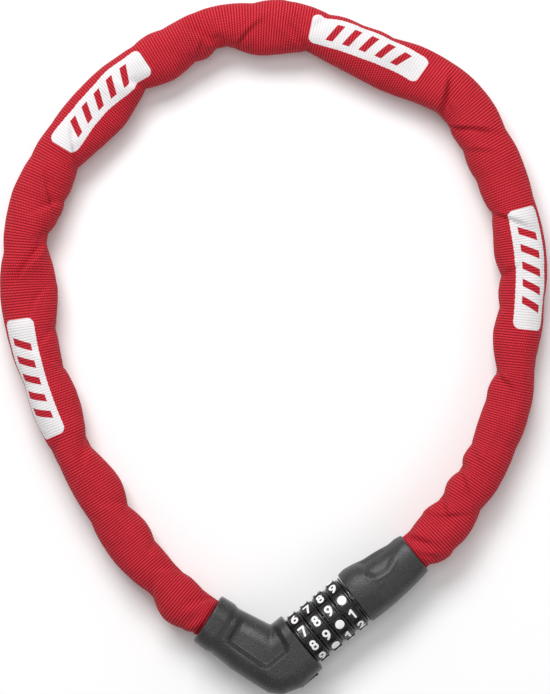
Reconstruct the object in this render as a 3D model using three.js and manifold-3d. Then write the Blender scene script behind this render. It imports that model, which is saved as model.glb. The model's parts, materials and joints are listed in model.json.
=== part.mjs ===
// Chain lock: a square-link chain in a woven sleeve, closed into a loop by a four-wheel number lock.
// Millimetres, +Z up. The loop lies flat in XY and rests on z = 0.
// The lock's own frame has +X along the bolt, from the elbow housing towards the bolt end.
import * as THREE from "three";
import { mergeVertices } from "three/addons/utils/BufferGeometryUtils.js";
import Module from "manifold-3d";

const wasm = await Module();
wasm.setup();

// ---- the loop ----
const LOOP_SHIFT = [-0.69, 0.54, 0]; // brings the middle of the whole object's outline over the origin
const LINK_COUNT = 31;
const WIRE = 4.5; // square section of a link
const EYE_LENGTH = 24.3;
const EYE_WIDTH = 7.7;
const EYE_CORNER = 1.5;
const LINK_CORNER = 6;
const END_TWIST_LINKS = 6; // links over which the chain twists from its flat end link to 45 degrees
const CHAIN_LOW = 11.6; // height of the chain where the sleeve rests on the ground
const SLEEVE_OUTER = 11.4;
const SLEEVE_INNER = 9.8;
const SLEEVE_END_GAP = 1.2;
const SLEEVE_STEPS = 48;

// ---- the lock ----
const AXIS_HEIGHT = 14.35;
const LOCK_ORIGIN = [13.7, -134.9]; // where the first wheel's side would meet the bolt axis
const LOCK_ANGLE = THREE.MathUtils.degToRad(38.8);
const WHEEL_COUNT = 4;
const WHEEL_PITCH = 7.55;
const FIRST_WHEEL = 2.7; // middle of the first wheel
const WHEEL_WIDTH = 7.3;
const WHEEL_RADIUS = 12.1;
const WHEEL_BORE = 9;
const TILE_RADIUS = 13;
const TILE_WIDTH = 4.8;
const TILE_ANGLE = THREE.MathUtils.degToRad(26);
const DIGITS = 10;
const DISC_RADIUS = 8.7;
const DISC_WIDTH = 4.4;
const DISC_PLAY = 0.2; // round the barrel
const GATE_RADIUS = 8;
const GATE_WIDTH = 3.4;
const BARREL_RADIUS = 5.4;
const BARREL_BORE = 3.6;
const BARREL_BACK = -12.8;
const BARREL_FRONT = 30.2;
const FLANGE_RADIUS = 9;
const BOLT_RADIUS = 3.2;
const BOLT_TIP = -8;
const BOLT_ROOT = 42;
const LUG_RADIUS = 7.6;
const LUG_WIDTH = 2.6;
const LUG_THICKNESS = 2.4;
const PIN_RADIUS = 1.8;
const PIN_PLAY = 0.85; // between an anchor pin and the end of the link's eye
const LINK_PLAY = 0.9; // above and below a link that lies flat on its pin
const GAP = 0.3; // between pieces that are screwed or pressed together
const FIT = 0.15; // round a pin or a shaft in its hole
const FLANGE_THICKNESS = 2;
const LUG_SLOT = { from: -3, width: 3.2 }; // along the top of the barrel
const SPRING_SEAT = { from: 0, to: 29, width: 3.6, floor: -4.5 }; // under the barrel
const LEAF = { low: -5.3, arch: 0.45, reach: 2, thickness: 0.3, width: 2.8 };
const COIL = { from: -9.9, to: -3.9, radius: 8.2, wire: 0.4, turns: 4 };
const RING = { from: 29.3, radius: 12.2 };
const BOLT_NOSE = { radius: 2.2, length: 1 };

// ---- the elbow housing ----
const RIM_X = -1.3;
const HOUSING_HEIGHT = 28.7;
const HOUSING_CORNER = 10;
const KNUCKLE = [-15.35, 0]; // where the lock axis and the arm axis cross
const KNUCKLE_RADIUS = 15.2;
const ARM_ANGLE = THREE.MathUtils.degToRad(109.2);
const ARM_LENGTH = 37.54;
const ARM_WIDTH = 23.4;
const ARM_HEIGHT = 24.6;
const KNUCKLE_PROFILE = [[8, HOUSING_HEIGHT / 2], [12.8, 10.5], [KNUCKLE_RADIUS, 4]]; // radius, height
const POCKET_RADIUS = 9.7;
const POCKET_DEPTH = 19;
const PIN_BLIND = 3; // wall left over each end of the elbow's anchor pin
const ELBOW_PIN_DEPTH = 10;
const FLANGE_CHAMBER = { to: -3.2, radius: 9.3 }; // where the barrel's flange and its spring sit
const LUG_CHAMBER_RADIUS = 7.9;
const RECESS_DEPTH = 1.6;
const RECESS_OUTLINE = [
  [-28, 23], [-21.8, 3.6], [-9.5, 1.4], [-6.3, 4], [-5, 12.7], [-4.4, 21], [-20, 46],
];
const ELBOW_SCREWS = [[-19.8, -6.5], [-19.2, 8]];
const ELBOW_SCREW = { headRadius: 2.7, headHeight: 2.2, sunk: 0.8, shankRadius: 1.4, top: 6.5 };
const ELBOW_WELL = { radius: 3, depth: 3.4, holeRadius: 1.7, top: 7 };
const SLIDER = { from: -14.5, to: -4.4, height: 6, proud: 1.3, root: -13.5, travel: 3 };
const SLIDER_STEM = { from: -10.6, to: -8, height: 4, root: -14, tip: -9.6 };

// ---- the bolt end ----
const BOLT_END_X = 30.5;
const BOLT_END_LENGTH = 34.3;
const BOLT_PIN = [55.8, -0.5];
const BOLT_END_TURN = THREE.MathUtils.degToRad(-1);
const BOLT_END_PROFILE = [[0, 11], [0.6, 12.1], [1.8, 12.55], [8, 12.7], [16, 11.9], [22, 10.8],
  [28, 10.1], [31, 9.8], [33.4, 9.8], [BOLT_END_LENGTH, 9.5]]; // distance from its face, radius
const MOUTH_RADIUS = 9.35;
const MOUTH_DEPTH = 17.3;
const CARRIER = { from: 33.6, to: 60, radius: 8, slotFrom: 46.4 };
const CARRIER_CHAMBER_END = 50;
const BOLT_SCREWS = [[36.5, 9.6], [36.5, -9.6]];
const BOLT_SCREW = { headRadius: 1.7, from: -6.2, head: 1.4, shankRadius: 0.8, top: 4.8 };
const BOLT_WELL = { radius: 1.9, floor: -4.6, holeRadius: 1, top: 5.2 };
const BEYOND = 20; // how far a cutting block reaches past the housings

const materials = {
  fabric: { color: 0xc83744, roughness: 0.85, metalness: 0 },
  softTouch: { color: 0x3a3a3c, roughness: 0.6, metalness: 0 },
  hardPlastic: { color: 0x1c1c1e, roughness: 0.35, metalness: 0 },
  wheel: { color: 0x161617, roughness: 0.3, metalness: 0 },
  steel: { color: 0x9a9c9f, roughness: 0.35, metalness: 1 },
  chainSteel: { color: 0x7d8084, roughness: 0.45, metalness: 1 },
  brass: { color: 0xb08d4a, roughness: 0.35, metalness: 1 },
};

// ---- geometry helpers ----
const X_FORWARD = new THREE.Matrix4().makeBasis(
  new THREE.Vector3(0, 1, 0),
  new THREE.Vector3(0, 0, 1),
  new THREE.Vector3(1, 0, 0),
);

function solidOf(geometry) {
  const bare = geometry.clone();
  bare.deleteAttribute("normal");
  bare.deleteAttribute("uv");
  const merged = mergeVertices(bare, 1e-4);
  return new wasm.Manifold(
    new wasm.Mesh({
      numProp: 3,
      vertProperties: Float32Array.from(merged.attributes.position.array),
      triVerts: Uint32Array.from(merged.index.array),
    }),
  );
}

function geometryOf(solid) {
  const mesh = solid.getMesh();
  const geometry = new THREE.BufferGeometry();
  geometry.setAttribute("position", new THREE.BufferAttribute(mesh.vertProperties, 3));
  geometry.setIndex(new THREE.BufferAttribute(mesh.triVerts, 1));
  return geometry;
}

function join(...geometries) {
  return geometryOf(geometries.map(solidOf).reduce((all, next) => all.add(next)));
}

function cut(body, ...tools) {
  return geometryOf(tools.map(solidOf).reduce((left, tool) => left.subtract(tool), solidOf(body)));
}

function common(a, b) {
  return geometryOf(solidOf(a).intersect(solidOf(b)));
}

function across(width) {
  return [-width / 2, width / 2];
}

function block([x0, x1], [y0, y1], [z0, z1]) {
  const box = new THREE.BoxGeometry(x1 - x0, y1 - y0, z1 - z0);
  return box.translate((x0 + x1) / 2, (y0 + y1) / 2, (z0 + z1) / 2);
}

// A solid turned about the X axis, from [x, radius] points that start and end on the axis.
function turned(profile, sides = 24) {
  const points = profile.map(([x, radius]) => new THREE.Vector2(radius, x));
  return new THREE.LatheGeometry(points, sides).rotateZ(-Math.PI / 2).rotateX(Math.PI / sides);
}

function rod(from, to, radius, sides = 24) {
  return turned([[from, 0], [from, radius], [to, radius], [to, 0]], sides);
}

function pipe(from, to, bore, radius, sides = 24) {
  return turned([[from, bore], [from, radius], [to, radius], [to, bore], [from, bore]], sides);
}

function uprightRod([x, y], [from, to], radius, sides = 16) {
  return new THREE.CylinderGeometry(radius, radius, to - from, sides)
    .rotateX(Math.PI / 2)
    .translate(x, y, (from + to) / 2);
}

function roundedRectangle(shape, width, height, corner, segments) {
  const [w, h] = [width / 2 - corner, height / 2 - corner];
  const corners = [[w, h], [-w, h], [-w, -h], [w, -h]];
  const points = corners.flatMap(([x, y], quarter) =>
    Array.from({ length: segments + 1 }, (_, i) => {
      const angle = (quarter + i / segments) * (Math.PI / 2);
      return new THREE.Vector2(x + corner * Math.cos(angle), y + corner * Math.sin(angle));
    }),
  );
  return shape.setFromPoints(points);
}

function flatPlate(shape, thickness) {
  const options = { depth: thickness, bevelEnabled: false, curveSegments: 6 };
  return new THREE.ExtrudeGeometry(shape, options).translate(0, 0, -thickness / 2);
}

function prismAlongX(shape, from, to) {
  const geometry = new THREE.ExtrudeGeometry(shape, { depth: to - from, bevelEnabled: false });
  return geometry.applyMatrix4(X_FORWARD).translate(from, 0, 0);
}

function piece(name, geometry, material) {
  const mesh = new THREE.Mesh(geometry, new THREE.MeshStandardMaterial(materials[material]));
  mesh.name = name;
  return mesh;
}

// ---- the chain ----
// The centreline from the elbow's anchor pin round to the bolt end's anchor pin.
function toWorld([x, y], z = AXIS_HEIGHT) {
  const c = Math.cos(LOCK_ANGLE);
  const s = Math.sin(LOCK_ANGLE);
  return new THREE.Vector3(LOCK_ORIGIN[0] + c * x - s * y, LOCK_ORIGIN[1] + s * x + c * y, z);
}

const ARM_DIRECTION = [Math.cos(ARM_ANGLE), Math.sin(ARM_ANGLE)];

function onArm(distance) {
  return [KNUCKLE[0] + ARM_DIRECTION[0] * distance, KNUCKLE[1] + ARM_DIRECTION[1] * distance];
}

const LOOP_POINTS = [
  [-47.5, -110.8, 13.6],
  [-76.3, -76.1, CHAIN_LOW],
  [-98, -36.8, CHAIN_LOW],
  [-111.2, 6.5, CHAIN_LOW],
  [-112, 52.4, CHAIN_LOW],
  [-94.4, 94.9, CHAIN_LOW],
  [-62.8, 127.7, CHAIN_LOW],
  [-21.2, 146.5, CHAIN_LOW],
  [24.1, 142.9, CHAIN_LOW],
  [66, 125.4, CHAIN_LOW],
  [97.8, 92.3, CHAIN_LOW],
  [113.6, 49.2, CHAIN_LOW],
  [113.2, 3.9, CHAIN_LOW],
  [104.2, -40.1, CHAIN_LOW],
  [81.3, -78.1, 13.6],
];

const elbowPin = onArm(ARM_LENGTH - ELBOW_PIN_DEPTH);
const PIN_TO_LINK = EYE_LENGTH / 2 - PIN_RADIUS - PIN_PLAY;
const centreline = new THREE.CatmullRomCurve3(
  [
    toWorld(elbowPin),
    toWorld(onArm(ARM_LENGTH - ELBOW_PIN_DEPTH + PIN_TO_LINK)),
    ...LOOP_POINTS.map((point) => new THREE.Vector3(...point)),
    toWorld([BOLT_PIN[0] + PIN_TO_LINK, BOLT_PIN[1]]),
    toWorld(BOLT_PIN),
  ],
  false,
  "centripetal",
);
centreline.arcLengthDivisions = 2000;

function linkGeometry() {
  const width = EYE_WIDTH + 2 * WIRE;
  const length = EYE_LENGTH + 2 * WIRE;
  const outline = roundedRectangle(new THREE.Shape(), length, width, LINK_CORNER, 3);
  outline.holes.push(roundedRectangle(new THREE.Path(), EYE_LENGTH, EYE_WIDTH, EYE_CORNER, 2));
  return flatPlate(outline, WIRE);
}

function linkRoll(index) {
  const fromEnd = Math.min(index, LINK_COUNT - 1 - index);
  const twist = (Math.PI / 4) * Math.min(1, fromEnd / END_TWIST_LINKS);
  return twist + (index % 2) * (Math.PI / 2);
}

// Each link points from one joint to the next: the joints are the two anchor pins, and the
// points halfway between neighbouring links.
function chain() {
  const group = new THREE.Group();
  const length = centreline.getLength();
  const spacing = (length - 2 * PIN_TO_LINK) / (LINK_COUNT - 1);
  const middles = Array.from({ length: LINK_COUNT }, (_, i) => {
    return centreline.getPointAt((PIN_TO_LINK + i * spacing) / length);
  });
  const between = middles.slice(1).map((middle, i) => middle.clone().lerp(middles[i], 0.5));
  const joints = [toWorld(elbowPin), ...between, toWorld(BOLT_PIN)];
  middles.forEach((middle, i) => {
    const name = `chain_link_${String(i + 1).padStart(2, "0")}`;
    const link = piece(name, linkGeometry(), "chainSteel");
    const along = joints[i + 1].clone().sub(joints[i]).normalize();
    const side = new THREE.Vector3(-along.y, along.x, 0).normalize();
    const up = new THREE.Vector3().crossVectors(along, side);
    link.quaternion.setFromRotationMatrix(new THREE.Matrix4().makeBasis(along, side, up));
    link.rotateX(linkRoll(i));
    link.position.copy(middle);
    group.add(link);
  });
  return group;
}

// The sleeve covers the chain between the two housings' mouths.
function sleeve() {
  const length = centreline.getLength();
  const from = ELBOW_PIN_DEPTH + SLEEVE_END_GAP;
  const to = length - (BOLT_END_X + BOLT_END_LENGTH - BOLT_PIN[0]) - SLEEVE_END_GAP;
  const points = Array.from({ length: SLEEVE_STEPS + 1 }, (_, i) => {
    return centreline.getPointAt((from + ((to - from) * i) / SLEEVE_STEPS) / length);
  });
  const shape = new THREE.Shape().absarc(0, 0, SLEEVE_OUTER, 0, 2 * Math.PI);
  shape.holes.push(new THREE.Path().absarc(0, 0, SLEEVE_INNER, 0, 2 * Math.PI, true));
  const extrudePath = new THREE.CatmullRomCurve3(points);
  const options = { extrudePath, steps: SLEEVE_STEPS, curveSegments: 7 };
  return piece("fabric_sleeve", new THREE.ExtrudeGeometry(shape, options), "fabric");
}

// ---- the lock mechanism, in the lock's frame ----
function wheelMiddle(index) {
  return FIRST_WHEEL + index * WHEEL_PITCH;
}

function codeWheel(index) {
  const middle = wheelMiddle(index);
  const ring = pipe(middle - WHEEL_WIDTH / 2, middle + WHEEL_WIDTH / 2, WHEEL_BORE, WHEEL_RADIUS, 30);
  const step = (2 * Math.PI) / DIGITS;
  const points = Array.from({ length: DIGITS }, (_, digit) => digit * step).flatMap((angle) => [
    new THREE.Vector2(WHEEL_RADIUS - 1, 0).rotateAround(new THREE.Vector2(), angle - step / 2),
    ...[-TILE_ANGLE / 2, 0, TILE_ANGLE / 2].map((turn) => {
      return new THREE.Vector2(TILE_RADIUS, 0).rotateAround(new THREE.Vector2(), angle + turn);
    }),
  ]);
  const star = new THREE.Shape(points);
  star.holes.push(new THREE.Path().absarc(0, 0, WHEEL_BORE + 1, 0, 2 * Math.PI, true));
  const tiles = prismAlongX(star, middle - TILE_WIDTH / 2, middle + TILE_WIDTH / 2);
  return piece(`code_wheel_${index + 1}`, join(ring, tiles), "wheel");
}

function gateDisc(index) {
  const middle = wheelMiddle(index);
  const span = [middle - DISC_WIDTH / 2, middle + DISC_WIDTH / 2];
  const disc = pipe(span[0], span[1], BARREL_RADIUS + DISC_PLAY, DISC_RADIUS, 30);
  const gate = block([span[0] - 1, span[1] + 1], across(GATE_WIDTH), [0, GATE_RADIUS]);
  return piece(`gate_disc_${index + 1}`, cut(disc, gate), "brass");
}

function lockBarrel() {
  const tube = pipe(BARREL_BACK, BARREL_FRONT, BARREL_BORE, BARREL_RADIUS, 24);
  const flange = pipe(BARREL_BACK, BARREL_BACK + FLANGE_THICKNESS, BARREL_BORE, FLANGE_RADIUS, 24);
  const slotSpan = [LUG_SLOT.from, BARREL_FRONT + 1];
  const lugSlot = block(slotSpan, across(LUG_SLOT.width), [0, BARREL_RADIUS + 1]);
  const { from, to, width, floor } = SPRING_SEAT;
  const springSeat = block([from, to], across(width), [-BARREL_RADIUS - 1, floor]);
  return piece("lock_barrel", cut(join(tube, flange), lugSlot, springSeat), "steel");
}

// A leaf with one shallow arch under each gate disc.
function detentSpring() {
  const { low, arch, reach, thickness, width } = LEAF;
  const under = Array.from({ length: WHEEL_COUNT }, (_, i) => {
    const middle = wheelMiddle(i);
    return [[middle - reach, low + arch], [middle, low], [middle + reach, low + arch]];
  }).flat();
  const over = under.map(([x, z]) => [x, z + thickness]).reverse();
  const shape = new THREE.Shape([...under, ...over].map(([x, z]) => new THREE.Vector2(x, z)));
  const leafSpring = flatPlate(shape, width).rotateX(Math.PI / 2);
  return piece("detent_spring", leafSpring, "steel");
}

class Helix extends THREE.Curve {
  constructor(from, to, radius, turns) {
    super();
    Object.assign(this, { from, to, radius, turns });
  }
  getPoint(t, target = new THREE.Vector3()) {
    const angle = 2 * Math.PI * this.turns * t;
    const x = this.from + (this.to - this.from) * t;
    return target.set(x, this.radius * Math.cos(angle), this.radius * Math.sin(angle));
  }
}

function barrelSpring() {
  const wire = new THREE.Shape().absarc(0, 0, COIL.wire, 0, 2 * Math.PI);
  const extrudePath = new Helix(COIL.from, COIL.to, COIL.radius, COIL.turns);
  const options = { extrudePath, steps: 16 * COIL.turns, curveSegments: 3 };
  return piece("barrel_spring", new THREE.ExtrudeGeometry(wire, options), "steel");
}

function endRing() {
  const ring = pipe(RING.from, BARREL_FRONT, BARREL_RADIUS + DISC_PLAY, RING.radius, 30);
  const keyway = block([RING.from - 1, BARREL_FRONT + 1], across(GATE_WIDTH), [0, GATE_RADIUS]);
  return piece("end_ring", cut(ring, keyway), "hardPlastic");
}

function lockingBolt() {
  const nose = [[BOLT_TIP, 0], [BOLT_TIP, BOLT_NOSE.radius], [BOLT_TIP + BOLT_NOSE.length, BOLT_RADIUS]];
  const shaft = turned([...nose, [BOLT_ROOT, BOLT_RADIUS], [BOLT_ROOT, 0]], 20);
  const lugs = Array.from({ length: WHEEL_COUNT }, (_, i) => {
    const middle = wheelMiddle(i) - WHEEL_PITCH / 2;
    const span = [middle - LUG_THICKNESS / 2, middle + LUG_THICKNESS / 2];
    return block(span, across(LUG_WIDTH), [0, LUG_RADIUS]);
  });
  return piece("locking_bolt", join(shaft, ...lugs), "steel");
}

// ---- the elbow housing, in the lock's frame ----
function armFrame(geometry) {
  return geometry.rotateZ(ARM_ANGLE).translate(KNUCKLE[0], KNUCKLE[1], 0);
}

function elbowBody() {
  const sideways = roundedRectangle(
    new THREE.Shape(), HOUSING_HEIGHT, HOUSING_HEIGHT, HOUSING_CORNER, 5,
  );
  const lockArm = prismAlongX(sideways, KNUCKLE[0], RIM_X);
  const mouth = roundedRectangle(new THREE.Shape(), ARM_WIDTH, ARM_HEIGHT, HOUSING_CORNER, 5);
  const chainArm = armFrame(prismAlongX(mouth, 0, ARM_LENGTH));
  const above = [...KNUCKLE_PROFILE].reverse();
  const below = KNUCKLE_PROFILE.map(([radius, height]) => [radius, -height]);
  const rim = [[0, -HOUSING_HEIGHT / 2], ...below, ...above, [0, HOUSING_HEIGHT / 2]];
  const knuckle = new THREE.LatheGeometry(rim.map(([r, z]) => new THREE.Vector2(r, z)), 28)
    .rotateX(Math.PI / 2)
    .translate(KNUCKLE[0], KNUCKLE[1], 0);
  return join(lockArm, chainArm, knuckle);
}

function thumbRecess() {
  const shape = new THREE.Shape(RECESS_OUTLINE.map(([x, y]) => new THREE.Vector2(x, y)));
  return flatPlate(shape, 2 * RECESS_DEPTH).translate(0, 0, HOUSING_HEIGHT / 2);
}

// A screw that enters from below: its head, then its shank up to the top.
function screw(name, place, [under, over], { headRadius, shankRadius, top }, sides) {
  const head = uprightRod(place, [under, over], headRadius, sides);
  const shank = uprightRod(place, [over - 0.5, top], shankRadius, sides);
  return piece(name, join(head, shank), "steel");
}

function screwHoles(places, floor, { radius, holeRadius, top }, sides) {
  return places.flatMap((place) => [
    uprightRod(place, [-BEYOND, floor], radius, sides),
    uprightRod(place, [floor - 1, top], holeRadius, sides),
  ]);
}

function elbowScrew(place, index) {
  const under = ELBOW_SCREW.sunk - HOUSING_HEIGHT / 2;
  const span = [under, under + ELBOW_SCREW.headHeight];
  return screw(`elbow_screw_${index + 1}`, place, span, ELBOW_SCREW, 12);
}

// The slider moves away from the wheels, so its slot is longer on that side.
function sliderSlot() {
  const { from, to, height, root, travel } = SLIDER;
  const stem = SLIDER_STEM;
  const face = block([from - travel - GAP, to + GAP], [-BEYOND, root + GAP], across(height + 2 * GAP));
  const along = [stem.from - travel - GAP, stem.to + GAP];
  const inner = block(along, [stem.root, stem.tip + 3 * GAP], across(stem.height + 2 * GAP));
  return join(face, inner);
}

function elbowHollows() {
  const half = HOUSING_HEIGHT / 2;
  return [
    rod(BARREL_BACK - 2 * GAP, FLANGE_CHAMBER.to, FLANGE_CHAMBER.radius),
    rod(FLANGE_CHAMBER.to - 1, KNUCKLE_RADIUS, LUG_CHAMBER_RADIUS),
    armFrame(rod(ARM_LENGTH - POCKET_DEPTH, ARM_LENGTH + 1, POCKET_RADIUS)),
    uprightRod(elbowPin, [PIN_BLIND - half, half - PIN_BLIND], PIN_RADIUS + FIT),
    sliderSlot(),
    ...screwHoles(ELBOW_SCREWS, ELBOW_WELL.depth - half, ELBOW_WELL, 12),
  ];
}

// Parts a housing's body along its level seam.
function splitSeam(body) {
  const reach = 100;
  const above = block([-reach, reach], [-reach, reach], [GAP / 2, BEYOND]);
  const below = block([-reach, reach], [-reach, reach], [-BEYOND, -GAP / 2]);
  return [common(body, above), common(body, below)];
}

function elbowHalves() {
  const body = cut(elbowBody(), ...elbowHollows());
  const [above, below] = splitSeam(body);
  return [
    piece("elbow_cover", cut(above, thumbRecess()), "softTouch"),
    piece("elbow_base", below, "hardPlastic"),
  ];
}

function elbowAnchorPin() {
  const half = HOUSING_HEIGHT / 2;
  const end = half - PIN_BLIND - GAP;
  return piece("elbow_anchor_pin", uprightRod(elbowPin, [-end, end], PIN_RADIUS), "steel");
}

function resetSlider() {
  const outer = -HOUSING_HEIGHT / 2 - SLIDER.proud;
  const { from, to, root, tip, height } = SLIDER_STEM;
  const tab = block([SLIDER.from, SLIDER.to], [outer, SLIDER.root], across(SLIDER.height));
  const stem = block([from, to], [root, tip], across(height));
  return piece("reset_slider", join(tab, stem), "hardPlastic");
}

// ---- the bolt end, in the lock's frame ----
function boltEndFrame(geometry) {
  return geometry.rotateZ(BOLT_END_TURN).translate(BOLT_END_X, 0, 0);
}

function boltEndBody() {
  return boltEndFrame(turned([[0, 0], ...BOLT_END_PROFILE, [BOLT_END_LENGTH, 0]], 32));
}

function boltEndHalves() {
  const hollows = [
    rod(BOLT_END_X - 1, CARRIER.from, BOLT_RADIUS + GAP, 20),
    rod(CARRIER.from - GAP, CARRIER_CHAMBER_END, CARRIER.radius + GAP),
    boltEndFrame(rod(BOLT_END_LENGTH - MOUTH_DEPTH, BOLT_END_LENGTH + 1, MOUTH_RADIUS)),
    ...screwHoles(BOLT_SCREWS, BOLT_WELL.floor, BOLT_WELL, 10),
  ];
  const [above, below] = splitSeam(cut(boltEndBody(), ...hollows));
  return [
    piece("bolt_cover_upper", above, "softTouch"),
    piece("bolt_cover_lower", below, "softTouch"),
  ];
}

function boltScrew(place, index) {
  const span = [BOLT_SCREW.from, BOLT_SCREW.from + BOLT_SCREW.head];
  return screw(`bolt_cover_screw_${index + 1}`, place, span, BOLT_SCREW, 10);
}

// The carrier grips the bolt's root, and its fork holds the last link's pin.
function boltCarrier() {
  const { from, to, radius, slotFrom } = CARRIER;
  const bar = rod(from, to, radius);
  const linkSlot = block([slotFrom, to + 1], across(2 * BEYOND), across(WIRE + 2 * LINK_PLAY));
  const boltHole = rod(from - 1, BOLT_ROOT + GAP, BOLT_RADIUS + FIT, 20);
  const pinHole = uprightRod(BOLT_PIN, across(2 * BEYOND), PIN_RADIUS + FIT);
  return piece("bolt_carrier", cut(bar, linkSlot, boltHole, pinHole), "steel");
}

function boltAnchorPin() {
  const length = 2 * CARRIER.radius - GAP;
  return piece("bolt_anchor_pin", uprightRod(BOLT_PIN, across(length), PIN_RADIUS), "steel");
}

function lockGroup() {
  const group = new THREE.Group();
  group.position.set(LOCK_ORIGIN[0], LOCK_ORIGIN[1], AXIS_HEIGHT);
  group.rotation.z = LOCK_ANGLE;
  for (let i = 0; i < WHEEL_COUNT; i += 1) group.add(codeWheel(i), gateDisc(i));
  group.add(lockBarrel(), detentSpring(), barrelSpring(), endRing());
  group.add(...elbowHalves(), elbowAnchorPin(), resetSlider());
  group.add(...ELBOW_SCREWS.map(elbowScrew));
  group.add(lockingBolt(), boltCarrier(), boltAnchorPin(), ...boltEndHalves());
  group.add(...BOLT_SCREWS.map(boltScrew));
  return group;
}

const chainLock = new THREE.Group();
chainLock.position.set(...LOOP_SHIFT);
chainLock.add(lockGroup(), chain(), sleeve());

export default chainLock;
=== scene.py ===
"""Chain lock: the looks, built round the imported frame. Lengths are in millimetres until a mesh is made."""
import json
import math

import bpy
import numpy as np
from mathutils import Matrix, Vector, noise


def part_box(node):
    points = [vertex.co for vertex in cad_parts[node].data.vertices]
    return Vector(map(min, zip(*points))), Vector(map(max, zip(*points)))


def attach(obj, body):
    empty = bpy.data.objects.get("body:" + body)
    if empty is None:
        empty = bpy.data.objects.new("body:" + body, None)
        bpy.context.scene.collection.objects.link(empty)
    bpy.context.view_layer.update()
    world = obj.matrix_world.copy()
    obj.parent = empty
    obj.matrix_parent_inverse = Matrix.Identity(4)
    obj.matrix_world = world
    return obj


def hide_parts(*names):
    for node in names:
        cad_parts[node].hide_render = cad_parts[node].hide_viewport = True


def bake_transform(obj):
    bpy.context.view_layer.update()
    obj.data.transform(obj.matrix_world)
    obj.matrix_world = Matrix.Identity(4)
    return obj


MM = 0.001
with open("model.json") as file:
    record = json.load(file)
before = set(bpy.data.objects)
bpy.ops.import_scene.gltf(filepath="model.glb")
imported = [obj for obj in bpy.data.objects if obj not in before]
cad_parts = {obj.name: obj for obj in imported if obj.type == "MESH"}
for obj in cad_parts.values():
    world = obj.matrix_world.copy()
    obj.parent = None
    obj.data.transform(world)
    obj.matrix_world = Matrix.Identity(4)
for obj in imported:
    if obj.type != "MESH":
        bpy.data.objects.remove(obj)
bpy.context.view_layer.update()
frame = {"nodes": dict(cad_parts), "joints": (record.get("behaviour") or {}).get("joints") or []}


# ---- places taken from the frame ----
def node_middle(node):
    low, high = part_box(node)
    return np.array((low + high) / 2) / MM


joints = {joint["name"]: joint for joint in frame["joints"]}
FIRST_WHEEL = 2.7
along = np.array(joints["wheel_1_turn"]["axis"], float)
up = np.array([0.0, 0.0, 1.0])
sideways = np.cross(up, along)
lock_origin = np.array(joints["wheel_1_turn"]["pos_m"]) / MM - along * FIRST_WHEEL
LOCK_AXES = np.array([along, sideways, up])


def from_lock(points):
    """Points in the lock's frame (x along the bolt, z up from its axis) as points in the row frame."""
    return np.asarray(points, float) @ LOCK_AXES + lock_origin


# ---- meshes ----
def mesh_piece(name, points, faces, material, uvs=None, normals=None):
    """A smooth object from points in the row frame; uvs and normals are given corner by corner."""
    mesh = bpy.data.meshes.new(name)
    mesh.from_pydata((np.asarray(points) * MM).tolist(), [], [list(map(int, face)) for face in faces])
    mesh.polygons.foreach_set("use_smooth", [True] * len(mesh.polygons))
    for layer, values in (uvs or {}).items():
        mesh.uv_layers.new(name=layer).data.foreach_set("uv", np.asarray(values, np.float32).ravel())
    if normals is not None:
        mesh.normals_split_custom_set(normals.tolist())
    mesh.materials.append(material)
    mesh.update()
    made = bpy.data.objects.new(name, mesh)
    bpy.context.scene.collection.objects.link(made)
    return made


def settle(made, body, slot, *nodes):
    """Lets a piece ride on a body, and stand for CAD nodes if there are any."""
    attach(made, body)
    if nodes:
        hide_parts(*nodes)
    return made


# ---- closed surfaces from fields, which are negative inside ----
SNAPS = 3
SNAP_PROBE = 0.05
LONGEST_SNAP = 0.4
FLATTEST_SLOPE = 0.1
TINY = 1e-9


def corner_values(array, corner, cells):
    """What an array on the grid's points holds at one corner of every cell."""
    return array[tuple(slice(first, first + count) for first, count in zip(corner, cells))]


def cell_points(values, inside, low, step):
    """A point in each cell that the surface crosses, and each cell's number in that list of points."""
    cells = tuple(count - 1 for count in values.shape)
    corners = [(i, j, k) for i in (0, 1) for j in (0, 1) for k in (0, 1)]
    total = sum(corner_values(inside, corner, cells).astype(int) for corner in corners)
    active = (total > 0) & (total < len(corners))
    place, crossings = np.zeros(cells + (3,)), np.zeros(cells)
    for a in corners:
        for axis in range(3):
            if a[axis]:
                continue
            b = tuple(v + (n == axis) for n, v in enumerate(a))
            at_a, at_b = corner_values(values, a, cells), corner_values(values, b, cells)
            cross = corner_values(inside, a, cells) != corner_values(inside, b, cells)
            share = np.where(cross, at_a / np.where(cross, at_a - at_b, 1), 0)
            for n in range(3):
                place[..., n] += cross * (a[n] + (share if n == axis else 0))
            crossings += cross
    index = np.full(cells, -1)
    index[active] = np.arange(active.sum())
    points = np.array(low) + step * (np.argwhere(active) + place[active] / crossings[active][:, None])
    return points, index


def facing_quads(inside, index):
    """A quad round each grid edge that the surface crosses, facing out."""
    quads = []
    for axis in range(3):
        first, second = [n for n in range(3) if n != axis]
        start, end = [slice(1, -1)] * 3, [slice(1, -1)] * 3
        start[axis], end[axis] = slice(0, -1), slice(1, None)
        hits = np.argwhere(inside[tuple(start)] != inside[tuple(end)])
        hits[:, first] += 1
        hits[:, second] += 1
        ring = []
        for step_first, step_second in ((-1, -1), (0, -1), (0, 0), (-1, 0)):
            spot = hits.copy()
            spot[:, first] += step_first
            spot[:, second] += step_second
            ring.append(index[tuple(spot.T)])
        quad = np.array(ring).T
        lead = inside[tuple(hits.T)]
        backwards = lead if axis == 1 else ~lead
        quad[backwards] = quad[backwards][:, ::-1]
        quads.append(quad)
    return np.concatenate(quads)


def slope_of(field, points, probe):
    steps = probe * np.eye(3)
    return np.stack([(field(*(points + s).T) - field(*(points - s).T)) / (2 * probe) for s in steps], 1)


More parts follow.
